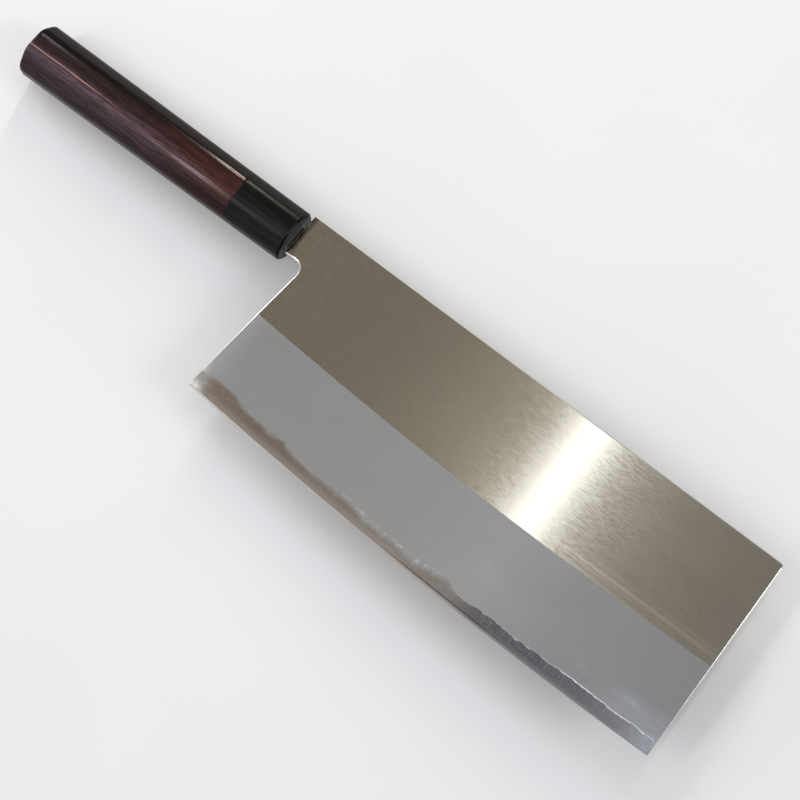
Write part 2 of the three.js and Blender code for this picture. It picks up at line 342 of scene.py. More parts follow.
class BladePlan:
    """The blade seen flat: points, how far each lies below the face, and triangles over them."""

    def __init__(self):
        self.points = []
        self.drops = []
        self.triangles = []
        self.rims = []
        rim, eases, edge = blade_rim()
        inner = self.add_rim(rim, eases)
        loop = inner + [self.add(point) for point in edge]
        self.fill(loop)

    def add(self, point, drop=0):
        self.points.append(Vector(point))
        self.drops.append(drop)
        return len(self.points) - 1

    def add_rim(self, rim, eases):
        """Rounds the outline's corner off in steps, and gives back the innermost ring."""
        normals = inward_normals(rim)
        rings = []
        last = len(rim) - 1
        for step in range(EASE_STEPS + 1):
            turn = math.pi / 2 * step / EASE_STEPS
            ring = []
            for i, point in enumerate(rim):
                if step and i in (0, last):
                    ring.append(rings[0][i])
                    continue
                inset = eases[i] * (1 - math.cos(turn))
                ring.append(self.add(point + normals[i] * inset, eases[i] * (1 - math.sin(turn))))
            rings.append(ring)
        for outer, inner in zip(rings, rings[1:]):
            for i in range(last):
                self.add_triangle(outer[i], outer[i + 1], inner[i + 1], True)
                self.add_triangle(outer[i], inner[i + 1], inner[i], True)
        return rings[-1]

    def add_triangle(self, a, b, c, is_rim):
        if len({a, b, c}) < 3:
            return
        first = self.points[b] - self.points[a]
        second = self.points[c] - self.points[a]
        turned = first.x * second.y - first.y * second.x < 0
        self.triangles.append((a, c, b) if turned else (a, b, c))
        self.rims.append(is_rim)

    def ground_line(self, loop, height_of):
        """A line of the grind as point numbers, from the loop's one side to its other."""
        def miss(index):
            point = self.points[index]
            return abs(point.y - edge_y(point.x) - height_of(point.x))
        middle = (HEEL_SETBACK + FRONT_X) / 2
        start = min((i for i in loop if self.points[i].x < middle), key=miss)
        end = min((i for i in loop if self.points[i].x > middle), key=miss)
        places = spaced(self.points[start].x, self.points[end].x, LINE_STEP)[1:-1]
        between = [self.add((x, edge_y(x) + height_of(x))) for x in places]
        return [start] + between + [end]

    def fill(self, loop):
        """Covers the inside of the eased rim with triangles that keep to the lines of the grind."""
        lines = [self.ground_line(loop, height_of) for height_of in GRIND_LINES]
        self.line = [self.points[i] for i in lines[GRIND_LINES.index(line_height)]]
        numbers = list(dict.fromkeys(loop + [i for line in lines for i in line]))
        order = {number: i for i, number in enumerate(numbers)}
        edges = [(order[a], order[b]) for line in lines for a, b in zip(line, line[1:])]
        flat = [self.points[i] / MM for i in numbers]
        face = [order[i] for i in reversed(loop)]
        made, _, triangles, origins, _, covers = delaunay_2d_cdt(
            flat, edges, [face], 0, MERGE_DISTANCE, True)
        back = []
        for point, sources in zip(made, origins):
            back.append(numbers[sources[0]] if sources else self.add(point * MM))
        for corners, inside in zip(triangles, covers):
            if inside:
                self.add_triangle(*[back[i] for i in corners], False)

    def line_y(self, x):
        """Height of the lamination line as it is drawn, between its own points."""
        i = min(max(bisect_right(self.line, x, key=lambda p: p.x), 1), len(self.line) - 1)
        before, after = self.line[i - 1:i + 1]
        return lerp(before.y, after.y, clamp((x - before.x) / (after.x - before.x)))

    def part_of(self, number):
        """Which surface of the blade a triangle belongs to."""
        a, b, c = (self.points[i] for i in self.triangles[number])
        middle = (a + b + c) / 3
        if middle.y < self.line_y(middle.x):
            return "core"
        if self.rims[number]:
            return "rim"
        return "flat" if middle.y > edge_y(middle.x) + bevel_height(middle.x) else "bevel"


class Surface:
    """Faces gathered for one mesh, each with its material's number and its shading."""

    def __init__(self):
        self.points = []
        self.faces = []
        self.materials = []
        self.smooth = []

    def add(self, points, faces, materials, smooth):
        start = len(self.points)
        self.points += points
        self.faces += [tuple(start + i for i in face) for face in faces]
        self.materials += materials
        self.smooth += smooth

    def add_plate(self, plan, numbers, top_of, bottom_of, material_of, wall_material):
        """A closed plate over some of the plan's triangles, between two heights."""
        used = sorted({i for number in numbers for i in plan.triangles[number]})
        order = {point: i for i, point in enumerate(used)}
        count = len(used)
        points = [Vector((*plan.points[i], top_of(i))) for i in used]
        points += [Vector((*plan.points[i], bottom_of(i))) for i in used]
        open_edges = {}
        faces = []
        materials = []
        smooth = []
        for number in numbers:
            a, b, c = (order[i] for i in plan.triangles[number])
            faces += [(a, b, c), (count + c, count + b, count + a)]
            materials += [material_of(number)] * 2
            smooth += [plan.rims[number]] * 2
            for edge in ((a, b), (b, c), (c, a)):
                if edge[::-1] in open_edges:
                    del open_edges[edge[::-1]]
                else:
                    open_edges[edge] = True
        for a, b in open_edges:
            faces.append((b, a, count + a, count + b))
            materials.append(wall_material)
            smooth.append(False)
        self.add(points, faces, materials, smooth)

    def add_tang(self, low_share, high_share, low_limit, high_limit, material):
        """The tang's share of one layer, from its end up to the shoulder."""
        points = []
        for x, height, thickness in ((TANG_END_X, TANG_END_HEIGHT, TANG_END_THICKNESS),
                                     (0, TANG_HEIGHT, TANG_THICKNESS)):
            low = max(low_share * thickness / 2, low_limit)
            high = min(high_share * thickness / 2, high_limit)
            for y in (-height / 2, height / 2):
                points += [Vector((x, y, low)), Vector((x, y, high))]
        faces = [(0, 1, 3, 2), (4, 6, 7, 5), (0, 4, 5, 1), (2, 3, 7, 6), (0, 2, 6, 4), (1, 5, 7, 3)]
        self.add(points, faces, [material] * 6, [False] * 6)

    def mirrored(self):
        """The same surface on the blade's other face."""
        other = Surface()
        other.points = [Vector((p.x, p.y, -p.z)) for p in self.points]
        other.faces = [face[::-1] for face in self.faces]
        other.materials = list(self.materials)
        other.smooth = list(self.smooth)
        return other


def new_object(name, data):
    """An object that is in the scene."""
    made = bpy.data.objects.new(name, data)
    bpy.context.scene.collection.objects.link(made)
    return made


def mesh_piece(name, surface, materials):
    """An object from a surface that is laid out from the shoulder."""
    mesh = bpy.data.meshes.new(name)
    mesh.from_pydata([SHOULDER + point for point in surface.points], [], surface.faces)
    for material in materials:
        mesh.materials.append(material)
    mesh.polygons.foreach_set("material_index", surface.materials)
    mesh.polygons.foreach_set("use_smooth", surface.smooth)
    mesh.update()
    return new_object(name, mesh)


def add_blade_maps(piece, surface, plan):
    """A map whose U runs up the blade, for the brushing, and each point's height over edge and line."""
    mesh = piece.data
    brushing = mesh.uv_layers.new(name=BRUSHING)
    for loop in mesh.loops:
        point = surface.points[loop.vertex_index]
        up_blade = point.y + point.z
        along_blade = point.x + point.z * MAP_LEAN
        brushing.data[loop.index].uv = (up_blade * MAP_SCALE, along_blade * MAP_SCALE)
    over_edge = mesh.attributes.new("over_edge", "FLOAT", "POINT")
    over_line = mesh.attributes.new("over_line", "FLOAT", "POINT")
    for i, point in enumerate(surface.points):
        over_edge.data[i].value = (point.y - edge_y(point.x)) / MM
        over_line.data[i].value = (point.y - plan.line_y(point.x)) / MM


def dressed(piece, node):
    """Sets a finished piece in place of its CAD node."""
    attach(piece, "root")
    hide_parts(node)


def make_blade():
    """The hard core and the two layers of cladding, out of one plan."""
    plan = BladePlan()
    numbers = range(len(plan.triangles))
    parts = [plan.part_of(number) for number in numbers]

    def face_at(i):
        return face_height(*plan.points[i])

    def core_at(i):
        return core_height(*plan.points[i])

    def clad_top(i):
        return face_at(i) - min(plan.drops[i], CLAD_EASE_LIMIT * (face_at(i) - core_at(i)))

    def strip_top(i):
        return face_at(i) - min(plan.drops[i], CORE_EASE_LIMIT * face_at(i))

    clad = [number for number in numbers if parts[number] != "core"]
    strip = [number for number in numbers if parts[number] == "core"]
    finish = {"flat": FLAT, "bevel": BEVEL, "rim": CLAD_RIM}
    right = Surface()
    right.add_plate(plan, clad, clad_top, core_at, lambda number: finish[parts[number]], CLAD_RIM)
    right.add_tang(0, 1, CORE_THICKNESS / 2, TANG_THICKNESS, CLAD_RIM)
    left = right.mirrored()
    core = Surface()
    core.add_plate(plan, strip, strip_top, lambda i: -strip_top(i), lambda number: BARE_EDGE, CORE_RIM)
    core.add_plate(plan, clad, core_at, lambda i: -core_at(i), lambda number: CORE_RIM, CORE_RIM)
    core.add_tang(-1, 1, -CORE_THICKNESS / 2, CORE_THICKNESS / 2, CORE_RIM)

    clad_finishes = [brushed_flat(), matte_bevel(), polished_rim()]
    core_finishes = [edge_steel(), polished_rim()]
    pieces = (
        ("right_clad_face", "right_cladding", "cladding", right, clad_finishes),
        ("left_clad_face", "left_cladding", "cladding", left, clad_finishes),
        ("hard_core", "core_steel", "core_steel", core, core_finishes),
    )
    for name, node, slot, surface, finishes in pieces:
        piece = mesh_piece(name, surface, finishes)
        add_blade_maps(piece, surface, plan)
        dressed(piece, node)


# Node helpers


def is_socket(value):
    return isinstance(value, bpy.types.NodeSocket)


def add_node(tree, kind, inputs=None, **settings):
    """Adds a node, sets its options, and gives each input a value, or a link from a socket or a node."""
    node = tree.nodes.new(kind)
    for setting, value in settings.items():
        setattr(node, setting, value)
    for socket, value in (inputs or {}).items():
        if isinstance(value, bpy.types.Node):
            value = value.outputs[0]
        if is_socket(value):
            tree.links.new(value, node.inputs[socket])
        else:
            node.inputs[socket].default_value = value
    return node


def maths(operation, *values):
    """Output of an arithmetic node, in the tree of the first value that is a socket."""
    tree = next(value.id_data for value in values if is_socket(value))
    node = add_node(tree, "ShaderNodeMath", dict(enumerate(values)), operation=operation)
    return node.outputs[0]


# Handle shape


def octagon_section(tree, given):
    """Cross-section of the bar: an oblong with its corners cut, then with each ridge rounded."""
    oblong = add_node(tree, "GeometryNodeCurvePrimitiveQuadrilateral",
                      {"Width": given["Height"], "Height": given["Width"]})
    octagon = add_node(tree, "GeometryNodeFilletCurve",
                       {"Curve": oblong, "Count": 1, "Radius": given["Ridge Cut"]}, mode="POLY")
    return add_node(tree, "GeometryNodeFilletCurve", {
        "Curve": octagon, "Count": RIDGE_STEPS, "Radius": given["Ridge Radius"]}, mode="POLY")


def bar_axis(tree, given):
    """Line through the bar, with its points closest together near the ends."""
    line = add_node(tree, "GeometryNodeCurvePrimitiveLine", {"Start": (0, 0, 0), "End": (1, 0, 0)})
    path = add_node(tree, "GeometryNodeResampleCurve", {"Curve": line, "Count": BAR_RINGS})
    share = add_node(tree, "GeometryNodeSplineParameter").outputs["Factor"]
    turn = maths("COSINE", maths("MULTIPLY", share, math.pi))
    eased = maths("MULTIPLY_ADD", turn, -0.5, 0.5)
    length = maths("SUBTRACT", given["Front"], given["Back"])
    ring_x = maths("MULTIPLY_ADD", eased, length, given["Back"])
    ring_place = add_node(tree, "ShaderNodeCombineXYZ", {"X": ring_x})
    return add_node(tree, "GeometryNodeSetPosition", {"Geometry": path, "Position": ring_place})


def ring_scale(tree, given):
    """Share of the full section at each point of the axis: less down the taper and at the ends."""
    here = add_node(tree, "GeometryNodeInputPosition")
    x = add_node(tree, "ShaderNodeSeparateXYZ", {0: here}).outputs["X"]
    from_back = maths("SUBTRACT", x, given["Back"])
    to_front = maths("SUBTRACT", given["Front"], x)
    inside = maths("MAXIMUM", maths("SUBTRACT", given["Back Round"], from_back), 0)
    radius_squared = maths("POWER", given["Back Round"], 2)
    remaining = maths("SUBTRACT", radius_squared, maths("POWER", inside, 2))
    rounding = maths("SUBTRACT", given["Back Round"], maths("SQRT", remaining))
    chamfer = maths("MAXIMUM", maths("SUBTRACT", given["Front Chamfer"], to_front), 0)
    inset = maths("ADD", rounding, chamfer)
    inset_share = maths("DIVIDE", inset, maths("MULTIPLY", given["Height"], 0.5))
    along = maths("SUBTRACT", x, given["Taper Start"])
    taper = maths("MULTIPLY_ADD", along, given["Taper"], 1)
    return maths("SUBTRACT", taper, inset_share)


def stretch(tree, start, end):
    """Length of a stretch of the axis, and the vector to its middle."""
    middle_x = maths("MULTIPLY", maths("ADD", start, end), 0.5)
    middle = add_node(tree, "ShaderNodeCombineXYZ", {"X": middle_x})
    return maths("SUBTRACT", end, start), middle


def bar_hollows(tree, given):
    """The dowel's round bore and the tang's slot, as bodies to cut away."""
    bore_length, bore_middle = stretch(tree, given["Bore From"], given["Bore To"])
    bore = add_node(tree, "GeometryNodeMeshCylinder",
                    {"Vertices": BORE_SIDES, "Radius": given["Bore Radius"], "Depth": bore_length})
    bore_set = add_node(tree, "GeometryNodeTransform",
                        {"Geometry": bore, "Translation": bore_middle, "Rotation": (0, math.pi / 2, 0)})
    slot_length, slot_middle = stretch(tree, given["Slot From"], given["Slot To"])
    slot_size = add_node(tree, "ShaderNodeCombineXYZ",
                         {"X": slot_length, "Y": given["Slot Height"], "Z": given["Slot Width"]})
    slot = add_node(tree, "GeometryNodeMeshCube", {"Size": slot_size})
    slot_set = add_node(tree, "GeometryNodeTransform", {"Geometry": slot, "Translation": slot_middle})
    return bore_set, slot_set


def octagon_bar_tree():
    """Node tree of a tapered octagon bar along X, rounded behind, chamfered in front, and hollow."""
    tree = bpy.data.node_groups.new("octagon_bar", "GeometryNodeTree")
    tree.interface.new_socket("Geometry", in_out="OUTPUT", socket_type="NodeSocketGeometry")
    kinds = dict.fromkeys(BAR_LENGTHS, "NodeSocketFloat")
    kinds |= {"Axis": "NodeSocketVector", "Finish": "NodeSocketMaterial"}
    for name, kind in kinds.items():
        tree.interface.new_socket(name, in_out="INPUT", socket_type=kind)
    given = tree.nodes.new("NodeGroupInput").outputs

    bar = add_node(tree, "GeometryNodeCurveToMesh", {
        "Curve": bar_axis(tree, given), "Profile Curve": octagon_section(tree, given),
        "Scale": ring_scale(tree, given), "Fill Caps": True})
    for hollow in bar_hollows(tree, given):
        bar = add_node(tree, "GeometryNodeMeshBoolean", {"Mesh 1": bar, "Mesh 2": hollow},
                       operation="DIFFERENCE")
    in_place = add_node(tree, "GeometryNodeTransform", {"Geometry": bar, "Translation": given["Axis"]})
    smooth = add_node(tree, "GeometryNodeSetShadeSmooth", {"Geometry": in_place})
    angle = add_node(tree, "GeometryNodeInputMeshEdgeAngle").outputs["Unsigned Angle"]
    sharp = maths("GREATER_THAN", angle, CREASE_ANGLE)
    creased = add_node(tree, "GeometryNodeSetShadeSmooth",
                       {"Geometry": smooth, "Selection": sharp, "Shade Smooth": False}, domain="EDGE")
    real = add_node(tree, "GeometryNodeRealizeInstances", {"Geometry": creased})
    dressed_bar = add_node(tree, "GeometryNodeSetMaterial",
                           {"Geometry": real, "Material": given["Finish"]})
    add_node(tree, "NodeGroupOutput", {0: dressed_bar})
    return tree


def tree_piece(name, tree, values):
    """Runs a node tree with its inputs set and keeps the result as a plain mesh."""
    maker = new_object(name, bpy.data.meshes.new(name))
    modifier = maker.modifiers.new("shape", "NODES")
    modifier.node_group = tree
    for item in tree.interface.items_tree:
        if item.name in values:
            modifier[item.identifier] = values[item.name]
    evaluated = maker.evaluated_get(bpy.context.evaluated_depsgraph_get())
    mesh = bpy.data.meshes.new_from_object(evaluated)
    mesh.name = name
    maker.modifiers.remove(modifier)
    maker.data = mesh
    return maker


def make_handle():
    """The wooden grip and the ferrule that carries its lines on."""
    tree = octagon_bar_tree()
    octagon = {
        "Height": BUTT_HEIGHT, "Width": BUTT_WIDTH,
        "Ridge Cut": RIDGE_CUT, "Ridge Radius": RIDGE_RADIUS,
        "Taper Start": handle_low.x, "Taper": (FRONT_HEIGHT / BUTT_HEIGHT - 1) / HANDLE_LENGTH,
        "Bore Radius": BORE_RADIUS, "Axis": (0, HANDLE_Y, MIDDLE_Z),
        "Slot Height": SLOT_HEIGHT, "Slot Width": SLOT_WIDTH,
    }
    handle = tree_piece("octagon_handle", tree, octagon | {
        "Back": handle_low.x, "Front": handle_high.x,
        "Back Round": BUTT_ROUND, "Front Chamfer": JOINT_EASE,
        "Bore From": dowel_low.x, "Bore To": handle_high.x + OVERCUT,
        "Slot From": dowel_high.x, "Slot To": dowel_high.x + OVERCUT,
        "Finish": rosewood(),
    })
    ferrule = tree_piece("horn_ferrule", tree, octagon | {
        "Back": ferrule_low.x, "Front": ferrule_high.x,
        "Back Round": JOINT_EASE, "Front Chamfer": FERRULE_CHAMFER,
        "Bore From": ferrule_low.x - OVERCUT, "Bore To": dowel_high.x,
        "Slot From": dowel_high.x - OVERCUT, "Slot To": ferrule_high.x + OVERCUT,
        "Finish": black_horn(),
    })
    dressed(handle, "handle_body")
    dressed(ferrule, "ferrule")


def make_seal():
    """Resin that fills the ferrule's mouth, with a black film from it up the tang to the shoulder."""
    outer_y = SLOT_HEIGHT / 2
    outer_z = SLOT_WIDTH / 2
    inner_y = TANG_HEIGHT / 2 + SEAL_FILM
    inner_z = TANG_THICKNESS / 2 + SEAL_FILM
    back = seal_low.x - SHOULDER.x
    mouth = ferrule_high.x - SHOULDER.x - SEAL_RECESS
    rings = []
    for step in range(SEAL_STEPS + 1):
        share = step / SEAL_STEPS
        creep = -(mouth + SEAL_FILM) * share ** SEAL_CREEP
        rings.append((mouth + creep, lerp(outer_y, inner_y, share), lerp(outer_z, inner_z, share)))
    rings += [(back, inner_y, inner_z), (back, outer_y, outer_z)]
    points = [Vector((x, y * a, z * b)) for x, y, z in rings for a, b in SQUARE]
    faces = []
    for ring in range(len(rings)):
        here = ring * 4
        after = (ring + 1) % len(rings) * 4
        for i in range(4):
            turn = (i + 1) % 4
            faces.append((here + i, here + turn, after + turn, after + i))
    surface = Surface()
    surface.add(points, faces, [0] * len(faces), [False] * len(faces))
    dressed(mesh_piece("resin_seal", surface, [seal_resin()]), "tang_seal")


# Shading helpers. Those that are given a socket or a shader work in its node tree.


def new_finish(name, **constants):
    """A material with its constant shader values set, its tree and its shader."""
    material = bpy.data.materials.new(name)
    material.use_nodes = True
    tree = material.node_tree
    shader = tree.nodes["Principled BSDF"]
    for socket, value in constants.items():
        shader.inputs[socket.replace("_", " ")].default_value = value
    return material, tree, shader


def wire(shader, **values):
    """Links values to a shader's inputs, with an underscore for each space in their names."""
    for socket, value in values.items():
        shader.id_data.links.new(value, shader.inputs[socket.replace("_", " ")])


def placed(tree):
    """Object coordinates."""
    return add_node(tree, "ShaderNodeTexCoord").outputs["Object"]


def place_of(tree):
    """Object coordinates apart, in millimetres from the shoulder."""
    moved = add_node(tree, "ShaderNodeVectorMath", {0: placed(tree), 1: SHOULDER}, operation="SUBTRACT")
    scaled = add_node(tree, "ShaderNodeVectorMath", {0: moved, "Scale": 1 / MM}, operation="SCALE")
    return add_node(tree, "ShaderNodeSeparateXYZ", {0: scaled}).outputs


def read(tree, name):
    """One of the blade's own heights, in millimetres."""
    return add_node(tree, "ShaderNodeAttribute", attribute_name=name).outputs["Fac"]


def noise(vector, scale, detail=3, roughness=0.55, distortion=0):
    """Noise drawn out by a scale along each axis, from 0 to 1."""
    tree = vector.id_data
    mapping = add_node(tree, "ShaderNodeMapping", {"Vector": vector, "Scale": scale})
    node = add_node(tree, "ShaderNodeTexNoise", {
        "Vector": mapping, "Scale": 1, "Detail": detail, "Roughness": roughness,
        "Distortion": distortion})
    return node.outputs["Fac"]


def spread(value, low, high, to_low=0, to_high=1, kind="LINEAR"):
    """A value stretched from one range to another, and held at its ends."""
    node = add_node(value.id_data, "ShaderNodeMapRange", {
        "Value": value, "From Min": low, "From Max": high, "To Min": to_low, "To Max": to_high},
        interpolation_type=kind)
    return node.outputs["Result"]


def rise(value, low, high):
    """A soft step from 0 to 1 between two values, or down where they are the other way round."""
    return spread(value, low, high, 0, 1, "SMOOTHSTEP")


def product(first, *others):
    """Values multiplied together."""
    for other in others:
        first = maths("MULTIPLY", first, other)
    return first


def window(value, start, full, until, end):
    """A soft step up to 1, and down to 0 again further on."""
    return product(rise(value, start, full), rise(value, end, until))


def ramp(value, *stops):
    """Colours along a value, as pairs of place and colour."""
    node = add_node(value.id_data, "ShaderNodeValToRGB", {"Fac": value})
    elements = node.color_ramp.elements
    while len(elements) < len(stops):
        elements.new(0.5)
    for element, (place, colour) in zip(elements, stops):
        element.position = place
        element.color = (*colour, 1)
    return node.outputs["Color"]


def mix(first, second, *shares, kind="MIX"):
    """A colour with another mixed in, by the product of some shares."""
    other = second if is_socket(second) else (*second, 1)
    node = add_node(first.id_data, "ShaderNodeMix", {0: product(*shares), 6: first, 7: other},
                    data_type="RGBA", blend_type=kind)
    return node.outputs[2]


def raised(shader, height, distance, strength=1.0):
    """Lets a height show in the shading of a surface."""
    bump = add_node(shader.id_data, "ShaderNodeBump",
                    {"Height": height, "Distance": distance, "Strength": strength})
    wire(shader, Normal=bump.outputs[0])


def set_tangent(shader):
    """Lets the gloss stretch up the blade, across the brushing."""
    tangent = add_node(shader.id_data, "ShaderNodeTangent", direction_type="UV_MAP", uv_map=BRUSHING)
    wire(shader, Tangent=tangent.outputs[0])


def steel_patches(place):
    """Patches of wear, alike on cladding and core."""
    return noise(place, (420, 420, 100), detail=4, roughness=0.65)


def ragged(x, patches):
    """Place along the blade, moved to and fro by the patches."""
    return maths("ADD", x, spread(patches, 0.3, 0.7, -2, 2))


# Materials. Places are in millimetres, and scales of noise per metre.


def brushed_flat():
    """Flat above the bevel: warm steel brushed lengthwise, with a few stray streaks near the front."""
    material, tree, shader = new_finish("brushed_flat", Metallic=1, Anisotropic=0.9)
    place = placed(tree)
    x = place_of(tree)["X"]
    along = spread(x, 0, FRONT_X / MM)
    lines = noise(place, (400, 4200, 300), detail=2, roughness=0.5)
    cloud = noise(place, (16, 26, 10), detail=2)
    flush = noise(place, (60, 90, 10))
    tone = ramp(along, (0, (0.255, 0.222, 0.164)), (0.12, (0.3, 0.263, 0.198)),
                (0.4, (0.332, 0.293, 0.222)), (1, (0.385, 0.345, 0.288)))
    # Brushing lines: faint everywhere, and painted stronger on the flanks of the lamp's bright band and
    # weaker in its middle, as a painted streaky highlight.
    shine = window(x, 98, 126, 150, 188)
    in_shine = window(x, 127, 134, 142, 149)
    band_streak_strength = product(spread(shine, 0, 1, 0.1, 0.34), spread(in_shine, 0, 1, 1, 0.5),
                       spread(x, 126, 150, 0.7, 1))
    tone = mix(tone, (0.42, 0.39, 0.33), rise(lines, 0.36, 0.66), band_streak_strength)
    tone = mix(tone, (0.16, 0.14, 0.11), rise(lines, 0.6, 0.3), band_streak_strength)
    tone = mix(tone, (0.23, 0.2, 0.145), spread(cloud, 0.35, 0.7, 0, 0.14))
    tone = mix(tone, (0.31, 0.27, 0.235), spread(flush, 0.45, 0.7, 0, 0.3))
    bevel_top = spread(along, 0, 1, HEEL_BEVEL / MM, FRONT_BEVEL / MM)
    over_bevel = maths("SUBTRACT", read(tree, "over_edge"), bevel_top)
    low_front = product(rise(x, 146, 172), rise(over_bevel, 9, 4.5))
    tone = mix(tone, (0.48, 0.43, 0.34), low_front, 0.22)
    streaks = noise(place, (5, 520, 10))
    tone = mix(tone, (0.56, 0.51, 0.42), rise(streaks, 0.5, 0.6), low_front, 0.45)
    neck_stain = noise(place, (500, 260, 100))
    tone = mix(tone, (0.06, 0.045, 0.032), rise(neck_stain, 0.38, 0.56), rise(x, 3.2, 0.4), 0.9)
    wire(shader, Base_Color=tone, Roughness=spread(lines, 0.3, 0.7, 0.168, 0.227))
    set_tangent(shader)
    return material


def matte_bevel():
    """Wide bevel: soft grey from the stone, bright where the cladding runs out near the front."""
    material, tree, shader = new_finish("matte_bevel", Metallic=1, Anisotropic=0.3)
    place = placed(tree)
    x = place_of(tree)["X"]
    over_edge = read(tree, "over_edge")
    over_line = read(tree, "over_line")
    haze = noise(place, (30, 60, 10), detail=4)
    grit = noise(place, (900, 3600, 900), detail=2)
    patches = steel_patches(place)
    # The tone rises to a painted glow at 0.62 of the way along, under the lamp's bright band.
    tone = ramp(spread(x, 0, FRONT_X / MM), (0.1, (0.26, 0.258, 0.253)), (0.45, (0.263, 0.258, 0.247)),
                (0.62, (0.294, 0.286, 0.267)), (0.77, (0.264, 0.257, 0.247)), (1, (0.29, 0.287, 0.285)))
    tone = mix(tone, (0.32, 0.318, 0.314), spread(haze, 0.35, 0.7, 0, 0.22))
    tone = mix(tone, (0.24, 0.24, 0.245), spread(grit, 0.35, 0.75, 0, 0.2))
    stone_marks = noise(place, (1700, 90, 100), detail=2)
    tone = mix(tone, (0.4, 0.4, 0.405), rise(stone_marks, 0.5, 0.75), rise(over_edge, 24, 8), 0.14)
    scuffs = noise(place, (600, 3000, 100))
    tone = mix(tone, (0.45, 0.45, 0.44), rise(scuffs, 0.48, 0.66), window(x, 130, 138, 142, 150),
               window(over_edge, 13, 16, 22, 27), 0.2)
    # Paler low down at the front, with streaks, and towards the heel, with a painted highlight along the
    # heel's side
    tone = mix(tone, (0.45, 0.465, 0.51), rise(x, 190, 214), rise(over_edge, 18, 11), 0.3)
    streaks = noise(place, (45, 1100, 10), detail=4)
    tone = mix(tone, (0.5, 0.52, 0.58), rise(streaks, 0.5, 0.64), rise(x, 178, 212),
               rise(over_edge, 20, 13), rise(haze, 0.36, 0.56), 0.42)
    tone = mix(tone, (0.4, 0.405, 0.4), rise(x, 16, 4), 0.4)
    # Painted highlight along the heel's side.
    tone = mix(tone, (0.62, 0.62, 0.6), rise(x, 8.5, 4.5), rise(over_edge, 16, 6), 0.6)
    # Along the line: a brown halo by the heel, pale patches in the middle, a bright feather in front
    rough_line = maths("ADD", over_line, spread(patches, 0.25, 0.75, 0.4, -0.4))
    tone = mix(tone, (0.225, 0.19, 0.16), rise(rough_line, 0.7, -0.25), rise(ragged(x, patches), 6, 11),
               rise(x, 86, 62), 0.9)
    tone = mix(tone, (0.46, 0.45, 0.43), rise(over_line, 1.5, 0.2), rise(patches, 0.46, 0.62),
               window(x, 62, 82, 116, 132), 0.6)
    tone = mix(tone, (0.78, 0.79, 0.83), rise(over_line, 0.5, 0.12), rise(x, 142, 164),
               spread(rise(x, 176, 189), 0, 1, 0.15, 1), spread(patches, 0.35, 0.55, 0.45, 1))
    wire(shader, Base_Color=tone, Roughness=spread(grit, 0.3, 0.7, 0.38, 0.47))
    raised(shader, grit, 0.008 * MM)
    set_tangent(shader)
    return material


def edge_steel():
    """Bare core below the line: brown by the heel, blue-grey to the front, bright on the edge."""
    material, tree, shader = new_finish("edge_steel", Metallic=1)
    place = placed(tree)
    x = place_of(tree)["X"]
    along = spread(x, 0, FRONT_X / MM)
    over_edge = read(tree, "over_edge")
    over_line = read(tree, "over_line")
    patches = steel_patches(place)
    marks = noise(place, (3300, 130, 300), detail=2)
    tone = ramp(along, (0.06, (0.19, 0.15, 0.116)), (0.16, (0.158, 0.125, 0.097)),
                (0.3, (0.178, 0.144, 0.114)), (0.5, (0.212, 0.181, 0.155)),
                (0.585, (0.225, 0.2, 0.178)), (0.645, (0.105, 0.101, 0.106)),
                (0.76, (0.086, 0.084, 0.092)), (0.86, (0.132, 0.13, 0.138)),
                (0.93, (0.215, 0.217, 0.228)), (0.985, (0.38, 0.395, 0.43)))
    tone = mix(tone, (0.15, 0.128, 0.112), spread(patches, 0.35, 0.7, 0, 0.3))
    grain = noise(place, (1500, 1500, 300), roughness=0.7)
    tone = mix(tone, (0.34, 0.3, 0.285), spread(grain, 0.5, 0.75, 0, 0.35))
    # Paler low down, faded and worn below the line, and clean in the heel's corner
    tone = mix(tone, (0.34, 0.3, 0.27), rise(over_edge, 4.5, 1.5), rise(x, 128, 100), 0.4)
    rough_line = maths("ADD", over_line, spread(patches, 0.25, 0.75, -0.5, 0.5))
    tone = mix(tone, (0.29, 0.275, 0.26), rise(rough_line, -1.2, 0.6), rise(x, 140, 118), 0.5)
    worn = product(rise(rough_line, -2.4, -0.4), window(x, 62, 82, 124, 136), 0.6)
    tone = mix(tone, (0.3, 0.288, 0.272), worn)
    tone = mix(tone, (0.34, 0.335, 0.32), rise(ragged(x, patches), 13, 6), 0.85)
    # Marks across the dark front, and paler ones behind it
    tone = mix(tone, (0.31, 0.31, 0.345), rise(marks, 0.5, 0.7), window(x, 130, 152, 196, 224),
               rise(over_line, -4.4, -1.2), 0.45)
    tone = mix(tone, (0.47, 0.45, 0.43), rise(marks, 0.52, 0.68), window(x, 75, 90, 130, 140),
               rise(over_line, -2.4, 0), 0.5)
    heel_specks = noise(place, (1300, 1300, 300))
    tone = mix(tone, (0.85, 0.83, 0.8), rise(x, 11, 5), rise(over_edge, 5, 0.8),
               spread(heel_specks, 0.35, 0.6, 0.35, 1))
    # Grey strip low down in front, a dark line over the edge, and the edge itself
    tone = mix(tone, (0.2, 0.195, 0.195), rise(over_edge, 2.6, 1.4), window(x, 138, 160, 198, 214), 0.5)
    tone = mix(tone, (0.05, 0.045, 0.045), window(over_edge, 0.8, 1.1, 1.25, 1.8),
               window(x, 96, 118, 140, 178), 0.65)
    on_edge = product(rise(over_edge, 0.95, 0.6), spread(x, 40, 150, 1, 0.35))
    edge_tone = ramp(along, (0.35, (0.42, 0.405, 0.375)), (0.52, (0.42, 0.36, 0.33)),
                     (0.75, (0.3, 0.29, 0.3)))
    tone = mix(tone, edge_tone, on_edge)
    wire(shader, Base_Color=tone, Roughness=spread(on_edge, 0, 1, 0.46, 0.34))
    return material


